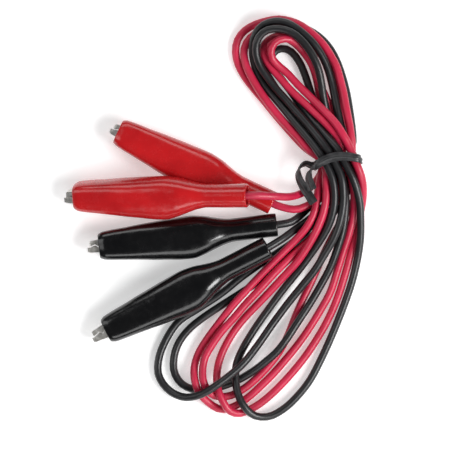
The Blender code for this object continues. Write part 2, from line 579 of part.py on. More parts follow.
def smooth_curve(points, step):
    """A curve through the points (centripetal Catmull-Rom), read at even steps along it."""
    knots = np.array([2 * np.array(points[0]) - points[1], *points, 2 * np.array(points[-1]) - points[-2]])
    fine = []
    for p0, p1, p2, p3 in zip(knots, knots[1:], knots[2:], knots[3:]):
        t1 = np.linalg.norm(p1 - p0) ** 0.5
        t2 = t1 + np.linalg.norm(p2 - p1) ** 0.5
        t3 = t2 + np.linalg.norm(p3 - p2) ** 0.5
        for t in np.linspace(t1, t2, 12, endpoint=False):
            a1 = ((t1 - t) * p0 + t * p1) / t1
            a2 = ((t2 - t) * p1 + (t - t1) * p2) / (t2 - t1)
            a3 = ((t3 - t) * p2 + (t - t2) * p3) / (t3 - t2)
            b1 = ((t2 - t) * a1 + t * a2) / t2
            b2 = ((t3 - t) * a2 + (t - t1) * a3) / (t3 - t1)
            fine.append(((t2 - t) * b1 + (t - t1) * b2) / (t2 - t1))
    fine.append(knots[-2])
    return even_steps(np.array(fine), step)


def even_steps(points, step):
    along = np.concatenate(([0.0], np.cumsum(np.linalg.norm(np.diff(points, axis=0), axis=1))))
    stations = np.linspace(0.0, along[-1], round(along[-1] / step) + 1)
    return np.stack([np.interp(stations, along, points[:, axis]) for axis in range(3)], axis=1)


def hold_in_tie(points):
    """Keeps the strands inside the tie where they pass through the waist."""
    left, right, bottom, top = TIE_INSIDE
    space = WIRE_RADIUS + 0.3
    away = points[:, :2] - TIE_CENTRE
    across = away @ TIE_ACROSS
    along = away @ (-TIE_ACROSS[1], TIE_ACROSS[0])
    held = (np.abs(along) < TIE_WIDTH + 0.3) & (np.abs(across) < 2 * right)
    inside = held * (np.clip(across, left + space, right - space) - across)
    points[:, :2] += inside[:, None] * TIE_ACROSS
    near = (np.abs(along) < 2 * TIE_WIDTH) & (np.abs(across) < right)
    points[near, 2] = np.clip(points[near, 2], bottom + space, top - space)


def ease_bends(line, step):
    """Opens every bend that is tighter than the lead allows."""
    most = step**2 / (2 * TIGHTEST_BEND)
    sag = line[1:-1] - (line[:-2] + line[2:]) / 2
    size = np.linalg.norm(sag, axis=1, keepdims=True)
    excess = sag * (1 - most / np.maximum(size, most))
    line[1:-1] -= 0.4 * excess
    line[:-2] += 0.2 * excess
    line[2:] += 0.2 * excess


def lay_down(strands, step):
    """Moves the strands apart until none runs through another or through the table.

    Each round pushes every pair that is too close apart, and spreads the moves along the strands, so
    that one strand passes over the next in a long low hump. The ends in the clips stay put.
    """
    rounds, last_rounds, look_again, held = 300, 15, 10, 14
    rest = np.vstack(strands)
    ends = np.cumsum([0] + [len(strand) for strand in strands])
    fixed = np.zeros(len(rest), bool)
    lead = np.zeros(len(rest), int)
    for k, (first, last) in enumerate(zip(ends, ends[1:])):
        fixed[first : first + held] = True
        fixed[last - held : last] = True
        lead[first:last] = k
    number = np.arange(len(rest))
    apart = (lead[:, None] != lead) | (np.abs(number[:, None] - number) * step > 5.0)
    apart &= number[:, None] < number
    now = rest.copy()
    for turn in range(rounds):
        if turn % look_again == 0:
            square = ((now[:, None] - now) ** 2).sum(axis=2)
            ones, others = np.nonzero(apart & (square < (STRAND_GAP + 1.0) ** 2))
        way = now[ones] - now[others]
        distance = np.sqrt((way**2).sum(axis=1))
        close = distance < STRAND_GAP
        i, j = ones[close], others[close]
        push = 0.6 * (STRAND_GAP / distance[close] - 1.0)[:, None] * way[close] * PILE_UP
        move = np.zeros_like(now)
        np.add.at(move, i, push)
        np.add.at(move, j, -push)
        met = np.bincount(np.concatenate((i, j)), minlength=len(now))
        now += move / np.maximum(met, 1)[:, None]
        for first, last in zip(ends, ends[1:]):
            ease_bends(now[first:last], step)
        if turn < rounds - last_rounds:
            shift = now - rest
            for first, last in zip(ends, ends[1:]):
                part = shift[first:last]
                part[1:-1] += 0.25 * (part[:-2] + part[2:] - 2 * part[1:-1])
            now = rest + shift
        hold_in_tie(now)
        now[fixed] = rest[fixed]
        now[:, 2] = np.maximum(now[:, 2], REST_HEIGHT)
    return [now[first:last] for first, last in zip(ends, ends[1:])]


def make_lead(name, centre_line, material):
    """The insulation, in tubes that meet face to face."""
    points = even_steps(centre_line, TUBE_STEP)
    count = len(points) - 1
    for k in range(TUBES_PER_LEAD):
        first = round(count * k / TUBES_PER_LEAD)
        last = round(count * (k + 1) / TUBES_PER_LEAD)
        tube = points[first : last + 1].copy()
        if k > 0:
            tube[0] += CLEAR * (tube[1] - tube[0]) / np.linalg.norm(tube[1] - tube[0])
        add_tube(f"{name}_{k + 1}", tube, TUBE_RADIUS, 2, material)


# ---- the twist tie -------------------------------------------------------------------------------


def tie_ring(inset):
    """A rounded rectangle in the waist's plane, as (across, height) pairs."""
    left, right, bottom, top = TIE_INSIDE
    reach = TIE_CORNER + TIE_THICKNESS - inset
    outline = []
    for x, z, start in ((right, top, 0), (left, top, 90), (left, bottom, 180), (right, bottom, 270)):
        middle_x = x - math.copysign(TIE_CORNER, x)
        middle_z = z - TIE_CORNER if z == top else z + TIE_CORNER
        for k in range(CORNER_STEPS + 1):
            angle = math.radians(start + 90 * k / CORNER_STEPS)
            outline.append((middle_x + reach * math.cos(angle), middle_z + reach * math.sin(angle)))
        if start in (0, 180):
            flat = outline[-1][1]
            outline += [(middle_x * (1 - 2 * k / FLAT_STEPS), flat) for k in range(1, FLAT_STEPS)]
    return outline


def tie_drift(across):
    """How far the band lies along the strands, at a place across the waist."""
    part = across / TIE_INSIDE[1]
    return TIE_BOW * (1 - part * part) + TIE_LEAN * (part + 1) / 2


def make_tie_band(material):
    """The ribbon's turn round the waist, as one closed band."""
    across = Vector((*TIE_ACROSS, 0.0))
    along = Vector((-TIE_ACROSS[1], TIE_ACROSS[0], 0.0))
    wide = along * TIE_WIDTH / 2
    outline = zip(tie_ring(0.0), tie_ring(TIE_THICKNESS))
    rings = []
    for outer, inner in outline:
        centre = Vector((*TIE_CENTRE, 0.0)) + along * tie_drift(inner[0])
        skin = centre + across * outer[0] + Vector((0.0, 0.0, outer[1]))
        lining = centre + across * inner[0] + Vector((0.0, 0.0, inner[1]))
        rings.append((skin - wide, skin + wide, lining + wide, lining - wide))
    mesh = mesh_of_rings("twist_tie_band", rings, closed=True)
    shade(mesh, 35)
    add_object("twist_tie_band", mesh, material)


def make_tie_tail(name, stations, material):
    """One free end of the ribbon, on smooth curves through its stations."""
    places = smooth_curve([place for place, _ in stations], 0.8)
    ways = smooth_curve([way for _, way in stations], 0.01)
    rings = []
    for k, place in enumerate(places):
        before = Vector(places[max(k - 1, 0)])
        after = Vector(places[min(k + 1, len(places) - 1)])
        heading = (after - before).normalized()
        wide = Vector(ways[round(k * (len(ways) - 1) / (len(places) - 1))])
        wide = (wide - heading * wide.dot(heading)).normalized() * TIE_WIDTH / 2
        thick = heading.cross(wide).normalized() * TIE_THICKNESS / 2
        centre = Vector(place)
        rings.append(
            (centre - wide - thick, centre + wide - thick, centre + wide + thick, centre - wide + thick)
        )
    mesh = mesh_of_rings(name, rings)
    shade(mesh, 35)
    add_object(name, mesh, material)


def main():
    clear_scene()
    boots = {
        "red": make_material("red_vinyl", RED_BOOT, 0.2),
        "black": make_material("black_vinyl", BLACK_BOOT, 0.2),
    }
    metal = (
        make_material("nickel_plate", NICKEL, 0.25, 1.0),
        make_material("spring_steel", SPRING_STEEL, 0.3, 1.0),
        make_material("copper", COPPER, 0.35, 1.0),
    )
    for name, colour, place, turns, neck_cut, push in CLIPS:
        make_clip(name, place, turns, neck_cut, push, boots[colour], metal)
    step = 1.5
    routes = [smooth_curve(route, step) for route in (red_route(), black_route())]
    red_line, black_line = lay_down(routes, step)
    make_lead("red_lead", red_line, make_material("red_insulation", RED_WIRE, 0.45))
    make_lead("black_lead", black_line, make_material("black_insulation", BLACK_WIRE, 0.45))
    tie_material = make_material("tie_plastic", TIE_COLOUR, 0.4)
    make_tie_band(tie_material)
    make_tie_tail("twist_tie_long_end", LONG_TAIL, tie_material)
    make_tie_tail("twist_tie_short_end", SHORT_TAIL, tie_material)


main()
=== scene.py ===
"""The finished look of the tied pair of clip leads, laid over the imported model."""

import math

import bmesh
import bpy
import numpy as np
from mathutils import Euler, Matrix, Vector


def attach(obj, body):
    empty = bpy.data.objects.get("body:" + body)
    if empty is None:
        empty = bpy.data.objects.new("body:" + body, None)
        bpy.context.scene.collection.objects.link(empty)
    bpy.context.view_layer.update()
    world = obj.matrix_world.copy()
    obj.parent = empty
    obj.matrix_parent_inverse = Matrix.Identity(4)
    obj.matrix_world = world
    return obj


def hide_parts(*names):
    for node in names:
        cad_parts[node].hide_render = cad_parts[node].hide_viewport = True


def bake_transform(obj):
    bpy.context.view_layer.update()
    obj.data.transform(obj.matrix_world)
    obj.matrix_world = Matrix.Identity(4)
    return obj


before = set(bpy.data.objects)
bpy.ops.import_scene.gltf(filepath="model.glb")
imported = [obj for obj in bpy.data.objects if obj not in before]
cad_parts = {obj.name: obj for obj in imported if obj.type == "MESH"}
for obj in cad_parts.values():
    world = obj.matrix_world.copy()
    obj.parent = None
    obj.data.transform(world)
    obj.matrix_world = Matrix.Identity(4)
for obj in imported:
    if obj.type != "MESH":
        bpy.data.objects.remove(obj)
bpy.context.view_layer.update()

# Everything below is in millimetres, in the part's own frame.
MM = 0.001

# The photograph's view: from straight above, through a long lens.
VIEW_CENTRE = (3.4, 1.6)
VIEW_WIDTH = 114.3
VIEW_HEIGHT = 1000.0
SENSOR = 36.0
OBJECT_MIDDLE = 5.0

# The stage: a floor just under the object, and softboxes aimed at the origin. Each softbox has a name,
# a place, a width and a height in metres, and a power in watts.
FLOOR_HEIGHT = -0.05
FLOOR_SIZE = 4000.0
SOFTBOXES = (
    ("window", (0.42, -0.16, 0.46), (0.34, 0.24), 3.6),
    ("back", (-0.1, 1.0, 0.8), (1.4, 0.5), 5.0),
    ("left", (-1.1, 0.1, 0.8), (0.5, 1.4), 4.0),
    ("front", (0.2, -1.1, 0.8), (1.4, 0.5), 6.0),
)
WORLD_COLOUR = (0.95, 0.97, 1.0, 1.0)
WORLD_STRENGTH = 0.07

# The looks of what comes in two colours or two metals: darkest colour, lightest colour and roughness.
LOOKS = {
    "red_vinyl": ((0.45, 0.007, 0.010), (0.60, 0.011, 0.014), 0.22),
    "black_vinyl": ((0.0015, 0.0015, 0.002), (0.004, 0.004, 0.0045), 0.2),
    "red_insulation": ((0.48, 0.010, 0.045), (0.64, 0.016, 0.070), 0.42),
    "black_insulation": ((0.006, 0.006, 0.007), (0.014, 0.014, 0.016), 0.38),
    "nickel_plate": ((0.62, 0.60, 0.55), (0.90, 0.88, 0.84), 0.36),
    "spring_steel": ((0.36, 0.36, 0.37), (0.55, 0.55, 0.57), 0.35),
}

# The leads, laid as in the part. Only their lengths are in metres.
WIRE_RADIUS = 1.0
LEAD_STEP = 1.5
TIGHTEST_BEND = 4.2
INSULATION_END = 14.0
CRIMP_X = 11.6
CRIMP_Y = -0.1
NECK_MIDDLE = 5.5

# How the strands are laid down: the height of a strand's middle on the table, the least distance between
# the middles of two strands, the stretch of one strand that can't press on itself, and how strongly a
# push acts in x, y and z. The shares are how much of a push, a spread or an easing one round makes.
REST_HEIGHT = 1.05
STRAND_GAP = 2.3
OWN_STRETCH = 5.0
PILE_UP = (0.6, 0.6, 1.6)
PUSH_SHARE = 0.6
SPREAD_SHARE = 0.25
EASE_SHARE = 0.4

# The boots, in the clip's frame: x from the neck's end to the nose, y towards the moving jaw, z up.
BOOT_WALL = 0.55
BOOT_SIDES = 72
BOOT_STEP = 0.75
BOOT_UNEVEN = 0.006
LIP_STEPS = 8
CAD_SIDES = 16

# The radius on the edges of the clips' sheet.
SHEET_EDGE = 0.08

# x, half height on the fixed side, half height on the moving side, half thickness, squareness.
BOOT_SECTIONS = (
    (0.0, 3.0, 3.0, 3.0, 2.0),
    (10.5, 3.0, 3.0, 3.0, 2.0),
    (12.5, 3.2, 3.3, 3.1, 2.2),
    (15.5, 3.9, 4.3, 3.7, 2.4),
    (18.0, 4.6, 5.2, 4.0, 2.6),
    (21.5, 5.0, 6.1, 4.0, 2.6),
    (30.0, 4.6, 5.4, 4.0, 2.8),
    (37.0, 4.1, 4.5, 3.65, 3.2),
    (43.8, 3.6, 3.7, 3.3, 3.4),
    (45.0, 3.1, 3.25, 2.9, 3.2),
)

# name, colour, neck end's place, roll, nose-down tilt and heading in degrees, how much shorter its
# neck is cut, and how far its clip is pushed forward in the boot.
CLIPS = (
    ("front_red", "red", (9.1, 9.0, 13.5), (-18.0, 12.7, 180.0), 0.0, 0.5),
    ("rear_red", "red", (17.0, 6.45, 4.0), (0.0, 0.0, 155.0), 1.6, -0.1),
    ("upper_black", "black", (16.0, 1.6, 4.0), (0.0, 0.0, 186.8), -0.6, 0.9),
    ("lower_black", "black", (13.1, -4.8, 6.06), (0.0, 3.6, 207.1), -1.4, 1.9),
)

# The tie, as in the part: the waist's middle, the direction across it, the heights of the strands' rows,
# the strip, its inside as left, right, bottom and top, and how far it bows, leans and stands off on top.
TIE_CENTRE = (31.9, 17.9)
TIE_ACROSS = (0.973, 0.231)
TIE_ROWS = (1.6, 3.5, 5.4, 7.3)
TIE_WIDTH = 2.3
TIE_THICKNESS = 0.4
TIE_INSIDE = (-5.8, 5.7, 0.45, 9.3)
TIE_SLACK = 0.3
TIE_CORNER = 1.5
CORNER_STEPS = 10
FLAT_STEPS = 12
TIE_BOW = 1.6
TIE_LEAN = -1.1
TIE_LIFT = 0.2
TAIL_STEP = 0.35

# The strip's two ends, each station a place and the direction of the strip's width.
LONG_TAIL = (
    ((25.1, 16.8, 6.0), (0.1, 0.6, 0.8)),
    ((23.9, 17.2, 6.2), (0.0, 0.6, 0.8)),
    ((22.6, 16.5, 6.4), (0.5, 0.5, 0.7)),
    ((22.0, 15.2, 6.6), (0.9, 0.1, 0.4)),
    ((22.2, 13.4, 6.9), (0.97, 0.2, 0.1)),
    ((23.3, 11.2, 7.6), (0.9, 0.4, 0.1)),
    ((24.6, 9.2, 7.9), (0.84, 0.54, 0.1)),
    ((25.9, 7.1, 8.0), (0.84, 0.54, 0.2)),
)
SHORT_TAIL = (
    ((25.4, 15.8, 8.9), (0.6, 0.3, 0.7)),
    ((24.8, 14.9, 9.0), (0.8, 0.2, 0.5)),
    ((24.6, 13.6, 9.1), (0.95, 0.1, 0.3)),
    ((25.0, 12.0, 9.3), (0.95, 0.2, 0.2)),
    ((25.5, 10.5, 9.5), (0.95, 0.25, 0.2)),
)

# Where the two ends leave the band's left side.
LONG_ROOT = (((26.3, 16.5, 6.4), (0.1, 0.8, 0.5)),)
SHORT_ROOT = (((26.3, 16.4, 8.6), (0.3, 0.7, 0.6)),)

# ---- small tools ---------------------------------------------------------------------------------


def link(obj):
    bpy.context.scene.collection.objects.link(obj)
    return obj


def mesh_of_rings(name, rings, closed=False):
    """A skin over equal rings of points, in millimetres, with flat ends unless it closes on itself."""
    bm = bmesh.new()
    loops = [[bm.verts.new(Vector(point) * MM) for point in ring] for ring in rings]
    pairs = list(zip(loops, loops[1:]))
    if closed:
        pairs.append((loops[-1], loops[0]))
    for first, second in pairs:
        for k in range(len(first)):
            after = (k + 1) % len(first)
            bm.faces.new((first[k], first[after], second[after], second[k]))
    if not closed:
        bm.faces.new(reversed(loops[0]))
        bm.faces.new(loops[-1])
    bmesh.ops.recalc_face_normals(bm, faces=bm.faces)
    mesh = bpy.data.meshes.new(name)
    bm.to_mesh(mesh)
    bm.free()
    return mesh


def shade(mesh, degrees):
    mesh.shade_smooth()
    mesh.set_sharp_from_angle(angle=math.radians(degrees))


class Shader:
    """A short way to write one material's nodes."""

    def __init__(self, name):
        self.material = bpy.data.materials.new(name)
        self.material.use_nodes = True
        self.tree = self.material.node_tree
        self.principled = self.tree.nodes["Principled BSDF"]
        self.place = self.node("ShaderNodeTexCoord").outputs["Object"]

    def node(self, kind, **settings):
        made = self.tree.nodes.new(kind)
        for key, value in settings.items():
            setattr(made, key, value)
        return made

    def feed(self, socket, value):
        if isinstance(value, bpy.types.NodeSocket):
            self.tree.links.new(value, socket)
        else:
            socket.default_value = value

    def set(self, **values):
        for key, value in values.items():
            self.feed(self.principled.inputs[key.replace("_", " ")], value)

    def noise(self, scale, detail=3.0, roughness=0.5, stretch=(1.0, 1.0, 1.0)):
        """Noise with features of about 1 / scale metres."""
        mapping = self.node("ShaderNodeMapping")
        self.feed(mapping.inputs["Vector"], self.place)
        mapping.inputs["Scale"].default_value = stretch
        texture = self.node("ShaderNodeTexNoise")
        self.feed(texture.inputs["Vector"], mapping.outputs["Vector"])
        texture.inputs["Scale"].default_value = scale
        texture.inputs["Detail"].default_value = detail
        texture.inputs["Roughness"].default_value = roughness
        return texture.outputs["Fac"]

    def ramp(self, value, low, high, start=0.3, end=0.7):
        """From one number or colour to another as value goes from start to end."""
        ramp = self.node("ShaderNodeValToRGB")
        self.feed(ramp.inputs["Fac"], value)
        for element, at, shown in zip(ramp.color_ramp.elements, (start, end), (low, high)):
            element.position = at
            element.color = (*shown, 1.0) if isinstance(shown, tuple) else (shown, shown, shown, 1.0)
        return ramp.outputs["Color"]

    def bump(self, height, distance, strength=1.0, below=None):
        bump = self.node("ShaderNodeBump")
        bump.inputs["Distance"].default_value = distance
        bump.inputs["Strength"].default_value = strength
        self.feed(bump.inputs["Height"], height)
        if below:
            self.feed(bump.inputs["Normal"], below)
        return bump.outputs["Normal"]


# ---- materials -----------------------------------------------------------------------------------


def vinyl(name):
    """Dipped soft vinyl: glossy, a little uneven, with faint smears."""
    dark, light, roughness = LOOKS[name]
    shader = Shader(name)
    cloudy = shader.noise(140.0, detail=4.0)
    smears = shader.noise(420.0, detail=5.0, roughness=0.65, stretch=(1.0, 1.0, 0.6))
    shader.set(
        Base_Color=shader.ramp(cloudy, dark, light),
        Roughness=shader.ramp(smears, roughness, roughness + 0.12, 0.42, 0.75),
        Coat_Weight=0.35,
        Coat_Roughness=0.08,
    )
    waves = shader.bump(shader.noise(230.0, detail=2.0), 0.00025, 0.5)
    pores = shader.bump(shader.noise(3800.0, detail=2.0), 0.00002, 0.35, below=waves)
    shader.set(Normal=pores)
    return shader.material


def insulation(name):
    """Extruded lead insulation: a soft sheen, with the strands showing faintly through."""
    dark, light, roughness = LOOKS[name]
    shader = Shader(name)
    cloudy = shader.noise(160.0, detail=4.0)
    grain = shader.noise(1900.0, detail=4.0, roughness=0.6)
    shader.set(
        Base_Color=shader.ramp(cloudy, dark, light),
        Roughness=shader.ramp(grain, roughness - 0.05, roughness + 0.08),
        Coat_Weight=0.15,
        Coat_Roughness=0.3,
    )
    strands = shader.bump(shader.noise(520.0, detail=2.0), 0.0001, 0.45)
    shader.set(Normal=shader.bump(shader.noise(5200.0, detail=2.0), 0.00001, 0.4, below=strands))
    return shader.material


def plated_metal(name):
    """Plated metal: rolling marks and cloudy patches."""
    dark, light, roughness = LOOKS[name]
    shader = Shader(name)
    tarnish = shader.noise(700.0, detail=5.0, roughness=0.6)
    brushed = shader.noise(2600.0, detail=4.0, roughness=0.7, stretch=(0.25, 1.0, 1.0))
    shader.set(
        Base_Color=shader.ramp(tarnish, dark, light, 0.35, 0.65),
        Roughness=shader.ramp(brushed, roughness - 0.08, roughness + 0.15),
        Metallic=1.0,
    )
    dents = shader.bump(shader.noise(900.0, detail=3.0), 0.00004, 0.5)
    shader.set(Normal=shader.bump(brushed, 0.00001, 0.5, below=dents))
    return shader.material


def stranded_copper():
    """The copper strands of the bare wire, laid at a slant."""
    shader = Shader("stranded_copper")
    wave = shader.node("ShaderNodeTexWave", wave_type="BANDS", bands_direction="DIAGONAL")
    shader.feed(wave.inputs["Vector"], shader.place)
    wave.inputs["Scale"].default_value = 900.0
    wave.inputs["Distortion"].default_value = 0.6
    shader.set(
        Base_Color=shader.ramp(wave.outputs["Fac"], (0.35, 0.15, 0.08), (0.78, 0.42, 0.26), 0.1, 0.7),
        Roughness=shader.ramp(shader.noise(1500.0), 0.28, 0.45),
        Metallic=1.0,
        Normal=shader.bump(wave.outputs["Fac"], 0.00008, 0.8),
    )
    return shader.material


def tie_plastic():
    """The tie's thin plastic skin, creased where it was twisted."""
    shader = Shader("tie_plastic")
    creases = shader.noise(620.0, detail=5.0, roughness=0.6)
    shader.set(
        Base_Color=shader.ramp(creases, (0.012, 0.012, 0.013), (0.045, 0.045, 0.048)),
        Roughness=shader.ramp(creases, 0.3, 0.48),
        Coat_Weight=0.2,
        Coat_Roughness=0.2,
        Normal=shader.bump(creases, 0.00012, 0.6),
    )
    return shader.material


def floor_paper():
    """White paper that glows a little, so that it stays white in a soft light."""
    shader = Shader("floor_paper")
    shader.set(
        Base_Color=shader.ramp(shader.noise(30.0), (0.86, 0.86, 0.86), (0.88, 0.88, 0.88)),
        Roughness=0.9,
    )
    shader.principled.inputs["Specular IOR Level"].default_value = 0.1
    shader.principled.inputs["Emission Color"].default_value = (1.0, 1.0, 1.0, 1.0)
    shader.principled.inputs["Emission Strength"].default_value = 0.4
    return shader.material


# ---- camera and lights ---------------------------------------------------------------------------


def make_camera():
    """A long lens straight above, which takes in VIEW_WIDTH at the object's middle height."""
    camera = bpy.data.cameras.new("camera")
    camera.sensor_width = SENSOR
    camera.lens = SENSOR * (VIEW_HEIGHT - OBJECT_MIDDLE) / VIEW_WIDTH
    camera.clip_start = 0.01
    obj = link(bpy.data.objects.new("camera", camera))
    obj.location = (VIEW_CENTRE[0] * MM, VIEW_CENTRE[1] * MM, VIEW_HEIGHT * MM)
    bpy.context.scene.camera = obj


def add_softbox(name, place, size, power):
    light = bpy.data.lights.new(name, "AREA")
    light.shape = "RECTANGLE"
    light.size, light.size_y = size
    light.energy = power
    obj = link(bpy.data.objects.new(name, light))
    obj.location = place
    obj.rotation_euler = (-Vector(place)).to_track_quat("-Z", "Y").to_euler()


def make_stage():
    bpy.ops.mesh.primitive_plane_add(size=FLOOR_SIZE * MM, location=(0.0, 0.0, FLOOR_HEIGHT * MM))
    floor = bpy.context.object
    floor.name = "floor"
    floor.data.materials.append(floor_paper())
    world = bpy.data.worlds.new("studio")
    world.use_nodes = True
    background = world.node_tree.nodes["Background"]
    background.inputs["Color"].default_value = WORLD_COLOUR
    background.inputs["Strength"].default_value = WORLD_STRENGTH
    bpy.context.scene.world = world
    bpy.context.scene.view_settings.view_transform = "Standard"
    for name, place, size, power in SOFTBOXES:
        add_softbox(name, place, size, power)


# ---- the leads -----------------------------------------------------------------------------------


def tie_slot(across, row):
    """Where a strand passes through the waist."""
    return (
        TIE_CENTRE[0] + across * TIE_ACROSS[0],
        TIE_CENTRE[1] + across * TIE_ACROSS[1],
        TIE_ROWS[row],
    )


def clip_matrix(place, turns):
    """From a clip's own frame to the part's, in millimetres."""
    turn = Euler([math.radians(angle) for angle in turns])
    return Matrix.Translation(place) @ turn.to_matrix().to_4x4()


def clip_exit(name):
    """The last stretch of a lead, from inside the crimp to the neck's end, as route points."""
    _, _, place, turns, _, push = next(clip for clip in CLIPS if clip[0] == name)
    matrix = clip_matrix(place, turns)
    inside = (
        (INSULATION_END + push, CRIMP_Y, 0.0),
        (CRIMP_X + push, CRIMP_Y, 0.0),
        (NECK_MIDDLE, CRIMP_Y, 0.0),
        (0.0, 0.0, 0.0),
    )
    return [tuple(matrix @ Vector(point)) for point in inside]


